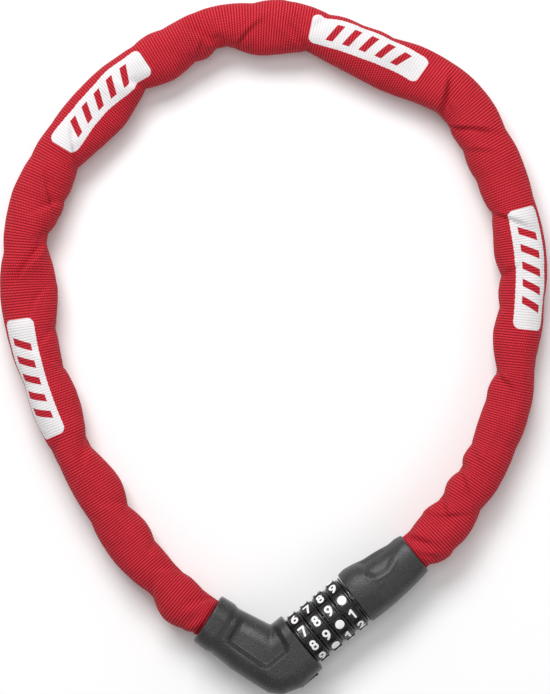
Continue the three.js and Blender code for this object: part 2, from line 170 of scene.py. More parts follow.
def surface_nets(field, low, high, step):
    """The closed surface where field(x, y, z) is 0, as points and quads facing out."""
    counts = [int(math.ceil((b - a) / step)) + 1 for a, b in zip(low, high)]
    x, y, z = np.ix_(*[low[i] + step * np.arange(counts[i]) for i in range(3)])
    values = np.broadcast_to(field(x, y, z), counts).astype(float)
    inside = values < 0
    points, index = cell_points(values, inside, low, step)
    for _ in range(SNAPS):
        slope = slope_of(field, points, SNAP_PROBE)
        move = slope * (field(*points.T) / np.maximum((slope ** 2).sum(1), FLATTEST_SLOPE))[:, None]
        size = np.linalg.norm(move, axis=1)
        points = points - move * np.minimum(1, LONGEST_SNAP * step / np.maximum(size, TINY))[:, None]
    return points, facing_quads(inside, index)


def between(value, low, high):
    return np.maximum(low - value, value - high)


def block(x, y, z, low, high):
    sides = [between(value, a, b) for value, a, b in zip((x, y, z), low, high)]
    return np.maximum(np.maximum(sides[0], sides[1]), sides[2])


def tube(u, across, height, start, stop, radius):
    """A cylinder lying along u."""
    return np.maximum(np.hypot(across, height) - radius, between(u, start, stop))


def polygon(corners, x, y):
    """Signed distance to a closed outline, negative inside."""
    nearest, sign = None, 1.0
    corners = np.array(corners, float)
    for (ax, ay), (bx, by) in zip(corners, np.roll(corners, 1, 0)):
        ex, ey, wx, wy = bx - ax, by - ay, x - ax, y - ay
        t = np.clip((wx * ex + wy * ey) / (ex * ex + ey * ey), 0, 1)
        d = (wx - ex * t) ** 2 + (wy - ey * t) ** 2
        nearest = d if nearest is None else np.minimum(nearest, d)
        above, below, left = y >= ay, y < by, ex * wy > ey * wx
        flip = (above & below & left) | ~(above | below | left)
        sign = sign * np.where(flip, -1.0, 1.0)
    return sign * np.sqrt(nearest)


def shrunk(corners, by):
    """An outline whose corners run counter-clockwise, with every side moved in."""
    corners = np.array(corners, float)
    sides = np.roll(corners, -1, 0) - corners
    inward = np.stack([-sides[:, 1], sides[:, 0]], 1) / np.linalg.norm(sides, axis=1)[:, None]
    out = []
    for i in range(len(corners)):
        a, b = corners[i - 1] + inward[i - 1] * by, corners[i] + inward[i] * by
        t = np.linalg.solve(np.array([sides[i - 1], -sides[i]]).T, b - a)
        out.append(a + sides[i - 1] * t[0])
    return out


def rounded_outline(corners, radius, x, y):
    return polygon(shrunk(corners, radius), x, y) - radius


def smooth_max(a, b, k):
    h = np.clip(0.5 + (a - b) / (2 * k), 0, 1)
    return b + (a - b) * h + k * h * (1 - h)


def smooth_min(a, b, k):
    return -smooth_max(-a, -b, k)


def smoothstep(t):
    t = np.clip(t, 0, 1)
    return t * t * (3 - 2 * t)


def pillow(flat, height, radius):
    """An outline drawn up and down to a height, with its rims rounded."""
    side, cap = flat + radius, height + radius
    out = np.hypot(np.maximum(side, 0), np.maximum(cap, 0))
    return out + np.minimum(np.maximum(side, cap), 0) - radius


# ---- materials ----
def socket_key(key):
    """n0, n1 and so on name a socket by its number; any other word is the socket's name."""
    return int(key[1:]) if key[1:].isdigit() else key.replace("_", " ")


class Nodes:
    """A material's node tree, built by short calls."""

    def __init__(self, name):
        self.material = bpy.data.materials.new(name)
        self.material.use_nodes = True
        self.tree = self.material.node_tree
        self.shader = self.tree.nodes["Principled BSDF"]

    def put(self, kind, settings=None, **inputs):
        made = self.tree.nodes.new(kind)
        for key, value in (settings or {}).items():
            setattr(made, key, value)
        for key, value in inputs.items():
            self.set(made, socket_key(key), value)
        return made

    def set(self, node, key, value):
        if isinstance(value, bpy.types.NodeSocket):
            self.tree.links.new(value, node.inputs[key])
        elif isinstance(value, bpy.types.Node):
            self.tree.links.new(value.outputs[0], node.inputs[key])
        else:
            node.inputs[key].default_value = value

    def math(self, operation, a, b=0.0):
        return self.put("ShaderNodeMath", {"operation": operation}, n0=a, n1=b).outputs[0]

    def times(self, *factors):
        product = factors[0]
        for factor in factors[1:]:
            product = self.math("MULTIPLY", product, factor)
        return product

    def average(self, a, b, share=0.5):
        return self.math("ADD", self.times(a, 1 - share), self.times(b, share))

    def mix(self, share, a, b):
        made = self.put("ShaderNodeMix", {"data_type": "RGBA"})
        for number, value in ((0, share), (6, a), (7, b)):
            self.set(made, number, value)
        return made.outputs[2]

    def band(self, value, low, high):
        """0 below low, rising to 1 at high."""
        kind = {"interpolation_type": "SMOOTHSTEP"}
        return self.put("ShaderNodeMapRange", kind, n0=value, n1=low, n2=high).outputs[0]

    def under(self, value, low, high):
        """1 below low, falling to 0 at high."""
        return self.math("SUBTRACT", 1.0, self.band(value, low, high))

    def ridges(self, value):
        """A rounded ridge between each whole number and the next."""
        return self.math("ABSOLUTE", self.math("SINE", self.times(value, math.pi)))

    def uv(self, layer):
        place = self.put("ShaderNodeUVMap", {"uv_map": layer})
        return self.put("ShaderNodeSeparateXYZ", None, n0=place).outputs

    def noise(self, scale, detail=2.0, rough=0.5):
        place = self.put("ShaderNodeTexCoord").outputs["Object"]
        shape = {"Scale": scale, "Detail": detail, "Roughness": rough}
        return self.put("ShaderNodeTexNoise", None, Vector=place, **shape).outputs[0]

    def finish(self, color, roughness, bump, depth, metallic=0.0, **more):
        shown = {"Base Color": color, "Roughness": roughness, "Metallic": metallic, **more}
        for key, value in shown.items():
            self.set(self.shader, key.replace("_", " "), value)
        self.set(self.shader, "Normal", self.put("ShaderNodeBump", None, Distance=depth, Height=bump))
        return self.material


def rgb(red, green, blue):
    """A colour given as it looks on a screen, 0 to 255, as linear light."""
    def linear(value):
        value /= 255
        return value / 12.92 if value <= 0.04045 else ((value + 0.055) / 1.055) ** 2.4
    return (linear(red), linear(green), linear(blue), 1.0)


def brighter(color, times):
    return tuple(min(1, part * times) for part in color[:3]) + (1,)


# Panels are printed from the middle of their own UV layer: half length, half width and corner radius.
PANEL_LENGTH, PANEL_WIDTH, PANEL_CORNER = 27.5, 7.6, 3.2
PRINT_BLUR = 0.12
PRINT_RAGGED = 0.25
BAR_PITCH, BAR_LEAN = 8.0, 0.45
BAR_EDGE = (0.2, 0.235)
BARS_WIDTH = (4.3, 4.6)
BARS_LENGTH = (19.6, 19.9)


def panel_print(n, crown):
    """Where a panel's ink lies: a rounded rectangle with leaning bars left out, its edge caught on the ribs."""
    length, width, _ = n.uv("panel")
    far_along, far_across = n.math("ABSOLUTE", length), n.math("ABSOLUTE", width)
    dx = n.math("MAXIMUM", n.math("SUBTRACT", far_along, PANEL_LENGTH - PANEL_CORNER), 0.0)
    dy = n.math("MAXIMUM", n.math("SUBTRACT", far_across, PANEL_WIDTH - PANEL_CORNER), 0.0)
    edge = n.math("SQRT", n.math("ADD", n.times(dx, dx), n.times(dy, dy)))
    edge = n.math("ADD", edge, n.times(n.math("SUBTRACT", crown, 0.5), PRINT_RAGGED))
    white = n.under(edge, PANEL_CORNER - PRINT_BLUR, PANEL_CORNER + PRINT_BLUR)
    lean = n.math("ADD", length, n.times(width, BAR_LEAN))
    step = n.math("FRACT", n.math("ADD", n.math("DIVIDE", lean, BAR_PITCH), 0.5))
    bar = n.under(n.math("ABSOLUTE", n.math("SUBTRACT", step, 0.5)), *BAR_EDGE)
    bar = n.times(bar, n.under(far_across, *BARS_WIDTH), n.under(n.math("ABSOLUTE", lean), *BARS_LENGTH))
    return n.times(white, n.math("SUBTRACT", 1.0, bar))


def woven():
    """Coarse weave: raised cross ribs of short yarns, each row set half a yarn along, with printed panels; its
    colour has painted shade in the gaps between ribs and painted highlights on the yarns' tops.
    """
    n = Nodes("sleeve_weave")
    row, yarn_place, _ = n.uv("weave")
    rib = n.math("POWER", n.ridges(row), 0.6)
    half_along = n.times(n.math("MODULO", n.math("FLOOR", row), 2.0), 0.5)
    yarn = n.ridges(n.math("ADD", yarn_place, half_along))
    dots = n.band(n.times(rib, yarn), 0.5, 0.95)
    crown = n.average(rib, dots, 0.6)
    # Painted shade: the red is darker in the gaps between the ribs and lighter on their tops.
    ground = n.mix(rib, rgb(84, 0, 12), rgb(190, 14, 34))
    # Random darker red patches from soft noise.
    dark_patches = n.times(n.band(n.noise(90.0, 3.0), 0.4, 0.7), 0.35)
    ground = n.mix(dark_patches, ground, rgb(150, 4, 24))
    # Painted highlights: the yarns' tops are lighter red, flickering with fine noise.
    highlight_dots = n.times(dots, n.math("ADD", 0.5, n.times(n.noise(900.0, 2.0), 0.6)))
    red = n.mix(highlight_dots, ground, rgb(240, 78, 92))
    printed = panel_print(n, crown)
    # The print is white, greyer in the gaps between the ribs: painted shade.
    shaded_ink = n.mix(crown, rgb(214, 208, 210), rgb(249, 248, 249))
    rough = n.math("SUBTRACT", 0.78, n.times(printed, 0.2))
    return n.finish(n.mix(printed, red, shaded_ink), rough, crown, 0.00026, Specular_IOR_Level=0.2)


def grained(name, dark, light, roughness, uneven, depth, scale, glint_speckle=0.0, **more):
    """Moulded plastic: a fine eroded grain with painted glints, soft mottling, and painted highlights along
    sharp edges.
    """
    n = Nodes(name)
    fine, cloud = n.noise(scale, 3.0, 0.6), n.noise(120.0, 3.0)
    # Painted highlights: sharp convex edges are paler.
    edge_highlight = n.band(n.put("ShaderNodeNewGeometry").outputs["Pointiness"], 0.51, 0.6)
    tint = n.mix(n.average(cloud, fine, 0.4), dark, light)
    # Painted glints: bright specks on the grain.
    tint = n.mix(n.times(n.band(fine, 0.52, 0.7), glint_speckle), tint, brighter(light, 3))
    tint = n.mix(n.times(edge_highlight, 0.35), tint, brighter(light, 2.4))
    rough = n.math("ADD", roughness, n.times(n.math("SUBTRACT", cloud, 0.5), uneven))
    return n.finish(tint, rough, fine, depth, **more)


def metal(name, dark, light, roughness, stretch):
    """Plated steel or brass: brushed streaks over soft clouding."""
    n = Nodes(name)
    place = n.put("ShaderNodeTexCoord").outputs["Object"]
    turned = n.put("ShaderNodeMapping", None, Vector=place, Scale=stretch)
    streak = n.put("ShaderNodeTexNoise", None, Vector=turned, Scale=4.0, Detail=3.0).outputs[0]
    rough = n.math("ADD", roughness - 0.1, n.times(streak, 0.2))
    color = n.mix(n.average(streak, n.noise(160.0, 3.0)), dark, light)
    return n.finish(color, rough, streak, 0.00002, metallic=1.0)


def ink_white():
    n = Nodes("number_ink")
    speck = n.noise(1800.0, 2.0)
    return n.finish(n.mix(speck, rgb(226, 226, 224), rgb(252, 252, 252)), 0.5, speck, 0.00002)


BRUSHED, EVEN = (40.0, 900.0, 900.0), (300.0, 300.0, 300.0)
weave = woven()
soft_touch = grained("soft_touch", rgb(30, 30, 31), rgb(50, 50, 51), roughness=0.38, uneven=0.14,
                     depth=0.0002, scale=1500.0, glint_speckle=0.4)
hard_shell = grained("hard_shell", rgb(12, 12, 13), rgb(26, 26, 28), roughness=0.24, uneven=0.1,
                     depth=0.00001, scale=1500.0, Coat_Weight=0.3)
wheel_gloss = grained("wheel_gloss", rgb(15, 15, 16), rgb(31, 31, 32), roughness=0.25, uneven=0.1,
                      depth=0.000012, scale=1800.0)
number_ink = ink_white()
lock_steel = metal("lock_steel", rgb(150, 152, 156), rgb(206, 208, 212), 0.32, BRUSHED)
chain_steel = metal("chain_steel", rgb(118, 120, 124), rgb(176, 178, 182), 0.42, EVEN)
disc_brass = metal("disc_brass", rgb(150, 118, 60), rgb(214, 180, 104), 0.34, EVEN)

CAD_METALS = {"chain_link": (chain_steel, "chain_steel"), "gate_disc": (disc_brass, "disc_brass")}
OTHER_METAL = (lock_steel, "lock_steel")
for node, shown in frame["nodes"].items():
    material, slot = next((v for start, v in CAD_METALS.items() if node.startswith(start)), OTHER_METAL)
    shown.data.materials.clear()
    shown.data.materials.append(material)

# ---- the fabric sleeve ----
LINKS, RUNS = 31, 8
LINK_PITCH, FIRST_PIVOT = 22.79, 9.5
LINK_REACH, LINK_CORNER = 7.7, 8.85
TWIST_LINKS = 6
SLEEVE_START, SLEEVE_STOP = 4.0, 5.0
ROW_STEP = 1.15
AROUND = 72
PATTERN_SEAM = -math.pi / 2
SKIN = 0.9
RIB = 1.2
YARNS = 90
TUBE_RADIUS = 11.4
TOP_LEAST, TOP_MOST = 9.0, 10.6
UNDERSIDE = 11.3
SQUARENESS = 2.25
LIP, FOLD_STRENGTH = 0.6, 1.1
MOUTHS = (10.0, 693.5)
MOUTH_RADIUS = 8.9
CRUMPLE, CRUMPLED_FROM, CRUMPLED_TO = 0.75, 14, 689
LIES_AT = 0.25
UNPRINTED = 60.0


class Spline:
    """A smooth curve through points, by distance along its chords."""

    def __init__(self, points):
        self.y = np.array(points, float)
        self.t = np.r_[0, np.cumsum(np.linalg.norm(np.diff(self.y, axis=0), axis=1))]
        n, h = len(self.t), np.diff(self.t)
        a, r = np.zeros((n, n)), np.zeros((n, 3))
        a[0, 0] = a[-1, -1] = 1
        for i in range(1, n - 1):
            a[i, i - 1:i + 2] = h[i - 1], 2 * (h[i - 1] + h[i]), h[i]
            r[i] = 6 * ((self.y[i + 1] - self.y[i]) / h[i] - (self.y[i] - self.y[i - 1]) / h[i - 1])
        self.m = np.linalg.solve(a, r)

    def __call__(self, at):
        k = np.clip(np.searchsorted(self.t, at) - 1, 0, len(self.t) - 2)
        h = (self.t[k + 1] - self.t[k])[:, None]
        a, b = (self.t[k + 1] - at)[:, None], (at - self.t[k])[:, None]
        before, after = self.m[k], self.m[k + 1]
        bend = (before * a ** 3 + after * b ** 3) / (6 * h)
        return bend + (self.y[k] / h - before * h / 6) * a + (self.y[k + 1] / h - after * h / 6) * b


# Where the fabric's edge stands from the chain's middle: valley, crest, valley, ... as (along, offset).
INNER_EDGE = [
    (15, 8.2), (28, 9.8), (35, 8.2), (46, 9.5), (53, 9.2), (63, 11.3), (74, 9.3), (88, 13.1), (110, 7.6),
    (135, 13), (148, 10.8), (160, 11.4), (167, 11), (187, 14.1), (212, 7), (228, 11.9), (232, 11.4),
    (238, 12), (250, 10.3), (281, 16), (303, 9.9), (319, 13.4), (331, 10.8), (337, 11.1), (346, 5.6),
    (366, 13.7), (389, 9), (429, 15.3), (465, 6.2), (479, 10.6), (484, 10.5), (495, 12.4), (502, 11.7),
    (510, 12.5), (519, 10.5), (540, 13.2), (551, 10.7), (559, 11.7), (567, 10.8), (579, 12.8), (597, 8.5),
    (607, 11.5), (612, 11.3), (621, 12), (635, 10.1), (642, 10.9), (648, 8), (657, 11.1), (665, 8),
    (676, 10.9), (691, 8.3)]
OUTER_EDGE = [
    (12, 9.5), (24, 12.9), (35, 8.6), (60, 11.7), (78, 9), (90, 9.4), (111, 7.8), (129, 10), (145, 9.2),
    (189, 13), (204, 11.3), (230, 13.2), (246, 11.5), (252, 11.8), (262, 11), (276, 11.2), (310, 10),
    (316, 10.8), (324, 9.9), (351, 11.3), (363, 10.7), (377, 13), (396, 9.9), (403, 10.4), (412, 9.6),
    (420, 9.9), (426, 9.3), (466, 15), (487, 11.9), (494, 11.9), (518, 10.3), (546, 11.2), (561, 9.9),
    (572, 10.1), (591, 8.1), (612, 10.1), (629, 9.2), (647, 10.5), (660, 9.3), (674, 11.9), (680, 11.4),
    (684, 12.1), (692, 8.5)]
# Creases that run in over the fabric from its outer (1) or inner (-1) edge, as
# (along, edge, depth, slant, reach).
CREASES = [
    (14, -1, 2.2, 5, 0.9), (16, 1, 1.6, -3, 0.5), (35, 1, 1.3, 4, 0.7), (35, -1, 1.2, 8, 0.6),
    (53, -1, 0.8, -6, 0.5), (74, -1, 1.2, 7, 0.7), (110, -1, 2.0, -9, 1.0), (111, 1, 1.2, 6, 0.5),
    (148, -1, 1.1, 10, 0.9), (167, -1, 0.9, -8, 0.6), (190, -1, 0.8, -15, 1.1), (212, -1, 3.0, -14, 1.3),
    (222, -1, 1.6, 16, 1.1), (232, -1, 1.4, -9, 0.8), (250, -1, 1.5, 12, 1.1), (303, -1, 1.6, -7, 0.8),
    (331, -1, 1.0, 10, 0.7), (346, -1, 3.0, -8, 1.4), (352, -1, 1.5, 12, 1.0), (377, 1, 0.9, 10, 0.9),
    (389, -1, 1.7, -10, 1.1), (396, 1, 1.0, -7, 0.5), (465, -1, 3.4, -6, 1.3), (470, -1, 2.0, 10, 1.3),
    (484, -1, 1.0, 8, 0.8), (519, -1, 1.8, 8, 1.2), (551, -1, 1.2, -6, 0.5), (597, -1, 2.0, 7, 0.6),
    (635, -1, 1.1, 10, 0.8), (648, -1, 2.0, 9, 0.9), (665, -1, 2.0, 7, 0.8), (678, -1, 1.2, -9, 1.1),
    (684, 1, 1.0, 9, 1.2), (691, -1, 2.0, -5, 0.9), (692, 1, 1.8, 4, 0.6)]
# Long folds left from the flat-packed fabric: (from, to, degrees round from the outer edge, height).
LONG_FOLDS = [(512, 668, 112, 0.9), (20, 104, 106, 0.7), (560, 640, 76, 0.4)]
# Printed panels: (along, degrees round from the outer edge).
PANELS = [(147, 62), (283, 88), (417, 82), (549, 74)]


def unit(vectors):
    return vectors / np.maximum(np.linalg.norm(vectors, axis=-1, keepdims=True), TINY)


def scallops(extremes, at, sharp=1.75):
    """Valleys with a crease in them and rounded crests between."""
    places, offsets = np.array(extremes).T
    k = np.clip(np.searchsorted(places, at) - 1, 0, len(places) - 2)
    valley = k + (k % 2)
    crest = k + 1 - (k % 2)
    x = np.clip(np.abs(at - places[valley]) / np.abs(places[crest] - places[valley]), 0, 1)
    return offsets[crest] - (offsets[crest] - offsets[valley]) * (1 - x) ** sharp


# In the next functions s is a column, the distance along the chain; phi is a row, the turn round it from
# the outer edge; and c and n are phi's cosine and sine.
def section(s, c, n):
    """How far the fabric stands from the chain's middle before it is folded."""
    outer, inner = scallops(OUTER_EDGE, s), scallops(INNER_EDGE, s)
    half = np.where(c >= 0, outer - 0.1, inner - 0.35)
    wide = (outer + inner) / 2
    top = np.clip(np.sqrt(np.maximum(2 * TUBE_RADIUS ** 2 - wide ** 2, 1)), TOP_LEAST, TOP_MOST)
    tall = np.where(n >= 0, top, UNDERSIDE)
    return (np.abs(c / half) ** SQUARENESS + np.abs(n / tall) ** SQUARENESS) ** (-1 / SQUARENESS)


def crease_heights(s, c):
    """Each crease is a lip with a dip beside it, which both fade with the distance from its edge."""
    total = 0
    for place, edge, depth, slant, reach in CREASES:
        near = c * edge
        fade = smoothstep((near + reach - 0.35) / 0.9) * (1 - 0.7 * smoothstep((near - 0.55) / 0.45))
        x = s - place - slant * (1 - near)
        width = 2.4 + 2.2 * (1 - near)
        past = 0.5 * (1 + np.tanh(x / 0.8))
        lip = LIP * (1 - past) * np.exp(np.minimum(x, 0) / (1.3 * width))
        dip = past * np.exp(-np.maximum(x, 0) / width)
        total = total + FOLD_STRENGTH * depth * fade * (lip - dip)
    return total


def long_fold_heights(s, phi):
    total = 0
    for start, stop, angle, height in LONG_FOLDS:
        turn = (phi - math.radians(angle) - 0.06 * np.sin(s / 17)) / 0.16
        ends = smoothstep((s - start) / 14) * smoothstep((stop - s) / 14)
        total = total + height * np.exp(-np.abs(turn)) * ends
    return total


def gathered(r, s, total):
    """The fabric narrows into the mouth of each housing."""
    for place in MOUTHS:
        inward = s - place if place > total / 2 else place - s
        r = np.minimum(r, 9.0 + np.maximum(-inward, 0) * 1.6 + 0.15 * np.sin(s * 2.1))
        r = np.where(inward > -0.4, np.minimum(r, MOUTH_RADIUS), r)
    return r


def chain_radius(s, phi, total):
    """How far the links, which lie crosswise, push the fabric out."""
    from_end = np.minimum(s - FIRST_PIVOT, total - FIRST_PIVOT - s) / LINK_PITCH
    turned = phi - math.pi / 4 * np.clip(from_end / TWIST_LINKS, 0, 1) - math.pi / 4
    return np.clip(LINK_REACH / np.maximum(np.abs(np.cos(turned)), np.abs(np.sin(turned))), 0, LINK_CORNER)


def crumple_at(places):
    """Uneven wrinkles, large and small, from noise at places."""
    spots = places.reshape(-1, 3)
    values = [noise.noise(Vector(q * 0.075)) + 0.4 * noise.noise(Vector(q * 0.2)) for q in spots]
    return np.reshape(values, places.shape[:-1])


def rib_numbers(s, c):
    """Which cross rib lies at each point: ribs bunch up in the inner valleys."""
    ribs = s / RIB + 0 * c
    for place, edge, depth, _, _ in CREASES:
        if edge < 0:
            bunch = np.tanh((s - place) / 1.6) - np.tanh((s - place) / 9.0)
            ribs = ribs + depth * 0.45 / RIB * bunch * smoothstep((1 - c) / 2 * 1.2 - 0.2)
    return ribs


def sleeve_grid():
    """The chain's path, and for each row of the sleeve its distance along, heading, points and rib numbers."""
    links = [node_middle(f"chain_link_{i + 1:02d}") for i in range(LINKS)]
    path = Spline([node_middle("elbow_anchor_pin"), *links, node_middle("bolt_anchor_pin")])
    total = path.t[-1]
    rows = int((total - SLEEVE_START - SLEEVE_STOP) / ROW_STEP)
    along_rows = np.linspace(SLEEVE_START, total - SLEEVE_STOP, rows)
    ahead = unit(path(along_rows + 0.5) - path(along_rows - 0.5))
    out = unit(np.stack([-ahead[:, 1], ahead[:, 0], 0 * along_rows], 1))
    rise = np.cross(ahead, out)
    phi = PATTERN_SEAM + 2 * math.pi * np.arange(AROUND)[None, :] / AROUND
    s, c, n = along_rows[:, None], np.cos(phi), np.sin(phi)
    middle = path(along_rows)[:, None]
    spokes = c[..., None] * out[:, None] + n[..., None] * rise[:, None]
    r = section(s, c, n) + crease_heights(s, c) + long_fold_heights(s, phi)
    r = gathered(r, s, total)
    loose = smoothstep(np.minimum(s - CRUMPLED_FROM, CRUMPLED_TO - s) / 8) * (0.35 + 0.65 * np.abs(n))
    r = r + CRUMPLE * crumple_at(middle + 11 * spokes) * loose
    grid = middle + np.maximum(r, chain_radius(s, phi, total))[..., None] * spokes
    grid[..., 2] = np.maximum(grid[..., 2], LIES_AT)
    return path, along_rows, ahead, grid, rib_numbers(s, c)


def grid_normals(grid):
    normal = np.cross(np.roll(grid, -1, 1) - np.roll(grid, 1, 1), np.gradient(grid, axis=0))
    middle = grid.mean(1)
    normal *= np.sign(((grid - middle[:, None]) * normal).sum(-1).mean())
    return unit(normal)


def sleeve_piece(name, s, ahead, grid, normal, ribs):
    """A length of the sleeve with an inner skin and closed ends, and UVs for its weave and its panel."""
    count = len(s)
    panel_place, panel_turn = min(PANELS, key=lambda panel: abs(panel[0] - (s[0] + s[-1]) / 2))
    points = np.concatenate([grid.reshape(-1, 3), (grid - SKIN * normal).reshape(-1, 3)])
    faces, weave_uv, panel_uv, normals = [], [], [], []

    def corner(i, j, inside, facing=None):
        column = j % AROUND
        turn = PATTERN_SEAM + 2 * math.pi * j / AROUND - math.radians(panel_turn)
        weave_uv.append((ribs[i, column], YARNS * j / AROUND))
        panel_uv.append((s[i] - panel_place, UNPRINTED if inside else turn * TUBE_RADIUS))
        side = -normal[i, column] if inside else normal[i, column]
        normals.append(side if facing is None else facing)
        return i * AROUND + column + (count * AROUND if inside else 0)

    for i in range(count - 1):
        for j in range(AROUND):
            outer = [(i, j), (i, j + 1), (i + 1, j + 1), (i + 1, j)]
            inner = [(i, j), (i + 1, j), (i + 1, j + 1), (i, j + 1)]
            faces.append([corner(*spot, False) for spot in outer])
            faces.append([corner(*spot, True) for spot in inner])
    for i, facing in ((0, -ahead[0]), (count - 1, ahead[-1])):
        for j in range(AROUND):
            rim = [(i, j, False), (i, j, True), (i, j + 1, True), (i, j + 1, False)]
            if i:
                rim.reverse()
            faces.append([corner(*spot, facing) for spot in rim])
    uvs = {"weave": weave_uv, "panel": panel_uv}
    return mesh_piece(name, points, faces, weave, uvs, np.array(normals))


def build_sleeve():
    """One piece for each hinge of the chain, cut half-way between hinges."""
    path, s, ahead, grid, ribs = sleeve_grid()
    normal = grid_normals(grid)
    fine = np.arange(0, path.t[-1], 0.5)
    fine_points = path(fine)
    pivots = [np.array(joints[f"chain_bend_{k + 1}"]["pos_m"]) / MM for k in range(RUNS)]
    hinges = [fine[np.argmin(np.linalg.norm(fine_points - pivot, axis=1))] for pivot in pivots]
    halfway = [int(np.argmin(np.abs(s - (a + b) / 2))) for a, b in zip(hinges, hinges[1:])]
    cuts = [0, *halfway, len(s) - 1]
    for k, (first, last) in enumerate(zip(cuts, cuts[1:])):
        rows = slice(first, last + 1)
        made = sleeve_piece(f"sleeve_{k + 1}", s[rows], ahead[rows], grid[rows], normal[rows], ribs[rows])
        reach = 0.8 * min(hinges[k] - s[first], s[last] - hinges[k], 30)
        start, end = path(np.array([hinges[k] - reach, hinges[k] + reach]))
        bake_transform(made)
        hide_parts("fabric_sleeve")


build_sleeve()
print("sleeve built")

# ---- solids described by a field in the lock's frame ----
STEP = 0.42
FINE = 0.18
INK_STEP = 0.12
NORMAL_PROBE = 0.08


def field_piece(name, field, box, step, material, body, slot, *nodes):
    """A body of the lock from its field, riding a CAD body and standing in for CAD nodes."""
    points, quads = surface_nets(field, *box, step)
    slope = unit(slope_of(field, points, NORMAL_PROBE)) @ LOCK_AXES
    made = mesh_piece(name, from_lock(points), quads, material, normals=slope[quads.ravel()])
    return settle(made, body, slot, *nodes)


# ---- the elbow ----
HOUSING_HALF, ARM_HALF = 14.35, 12.5
HOUSING_ROUND = 8.5
RIM_FACE = -1.3
SEAM_HEIGHT, SEAM_GAP = -2.0, 0.2
OFF_GROUND = 0.06
BASE_PROUD = 0.65
KNUCKLE = (-15.35, 0.0)
ARM_TURN = math.radians(109.2)
ARM_END = 37.6
COLLAR_START, COLLAR_LENGTH, COLLAR_HEIGHT = 27.6, 3.4, 0.8
# Outlines from above, in the lock's frame and in the arm's.
LOCK_ARM = [(-23.5, -12.7), (-14, -15.9), (-1.5, -15.1), (14, -15.1),
            (14, 14.7), (-20, 14.7), (-30, 0), (-27.5, -8)]
CHAIN_ARM = [(-11, -10.5), (-3.7, -13.8), (6, -14.2), (17, -14.05), (28, -12.5), (38, -11.6), (52, -10.4),
             (52, 10.7), (28, 10.6), (11, 12), (-6, 10)]
RECESS = [(-28.7, 23.4), (-22.6, 2.9), (-20.6, 0.4), (-8.3, 0.6), (-5.9, 2.8), (-4.9, 11.2),
          (-3.8, 22), (-9.2, 31)]
RECESS_DEPTH, RECESS_SLOPE = 2.1, 2.5
FLANGE_CHAMBER, RIM_BORE = (-13.6, -3.2, 9.3), (-4, 4, 8.6)
CHAIN_CHAMBER_START, CHAIN_CHAMBER_RADIUS, MOUTH_FLARE = 18.5, 9.7, 0.9
SLIDER_SLOT = ((-17.8, -30, -3.3), (-4.1, -13.2, 3.3))
STEM_SLOT = ((-14, -14.6, -2.3), (-7.6, -8.6, 2.3))
ELBOW_SCREWS = [(-19.8, -6.5), (-19.2, 8.0)]
ELBOW_WELL_RADIUS, ELBOW_WELL_DEPTH = 3, 3.4
ELBOW_BOX = ([-43, -18.5, -16], [0.5, 43, 16])


def arm_place(x, y):
    """Distance along the chain's arm of the elbow, and across it towards the inside of the loop."""
    dx, dy = x - KNUCKLE[0], y - KNUCKLE[1]
    c, s = math.cos(ARM_TURN), math.sin(ARM_TURN)
    return dx * c + dy * s, dx * s - dy * c


def elbow_hollows(x, y, z, a, b):
    """The chambers for the barrel and the chain, the slider's slots and the screw wells."""
    flared = CHAIN_CHAMBER_RADIUS + MOUTH_FLARE * np.clip((a - ARM_END) / MOUTH_FLARE + 1, -4, 2)
    chamber = tube(a, b, z, CHAIN_CHAMBER_START, 60, CHAIN_CHAMBER_RADIUS)
    chamber = smooth_min(chamber, np.hypot(b, z) - flared, 0.2)
    hollow = np.minimum(tube(x, y, z, *FLANGE_CHAMBER), tube(x, y, z, *RIM_BORE))
    hollow = np.minimum(hollow, np.where(a > CHAIN_CHAMBER_START, chamber, 5.0))
    for slot in (SLIDER_SLOT, STEM_SLOT):
        hollow = np.minimum(hollow, block(x, y, z, *slot))
    for px, py in ELBOW_SCREWS:
        well = np.maximum(np.hypot(x - px, y - py) - ELBOW_WELL_RADIUS, z + HOUSING_HALF - ELBOW_WELL_DEPTH)
        hollow = np.minimum(hollow, well)
    return hollow


def elbow_field(x, y, z, proud=0.0, recess=True):
    """The whole elbow; the base stands proud along the outer side, and only the top has the recess."""
    a, b = arm_place(x, y)
    plan = smooth_min(rounded_outline(LOCK_ARM, 3.5, x, y), rounded_outline(CHAIN_ARM, 2.5, a, b), 1.0)
    collar = smoothstep((a - COLLAR_START) / COLLAR_LENGTH)
    plan = plan - COLLAR_HEIGHT * collar - proud * smoothstep((4 - b) / 8) * smoothstep((8 - y - x) / 6)
    half = HOUSING_HALF - (HOUSING_HALF - ARM_HALF) * smoothstep((a - 6) / 20)
    half = half - 0.5 * (1 - collar) * smoothstep((a - 14) / 12)
    if recess:
        bevel = np.clip(-rounded_outline(RECESS, 3.0, x, y) / RECESS_SLOPE, 0, 1)
        bevel = (bevel * 0.8 + 0.2 * smoothstep(bevel)) * smoothstep((27.5 - a) / 5)
        half = half - np.where(z > 0, RECESS_DEPTH * bevel, 0)
    body = pillow(plan, np.abs(z) - half + OFF_GROUND * (z < 0), HOUSING_ROUND)
    body = smooth_max(smooth_max(body, x - RIM_FACE, 0.45), a - ARM_END, 1.1)
    return smooth_max(body, -elbow_hollows(x, y, z, a, b), 0.12)


def elbow_top(x, y, z):
    return smooth_max(elbow_field(x, y, z), SEAM_HEIGHT - z, 0.3)


def elbow_bottom(x, y, z):
    return smooth_max(elbow_field(x, y, z, BASE_PROUD, recess=False), z - SEAM_HEIGHT + SEAM_GAP, 0.4)


field_piece("elbow_top", elbow_top, ELBOW_BOX, STEP, soft_touch,
            "lock_body", "soft_touch", "elbow_cover")
field_piece("elbow_bottom", elbow_bottom, ELBOW_BOX, STEP, hard_shell,
            "lock_body", "hard_shell", "elbow_base")

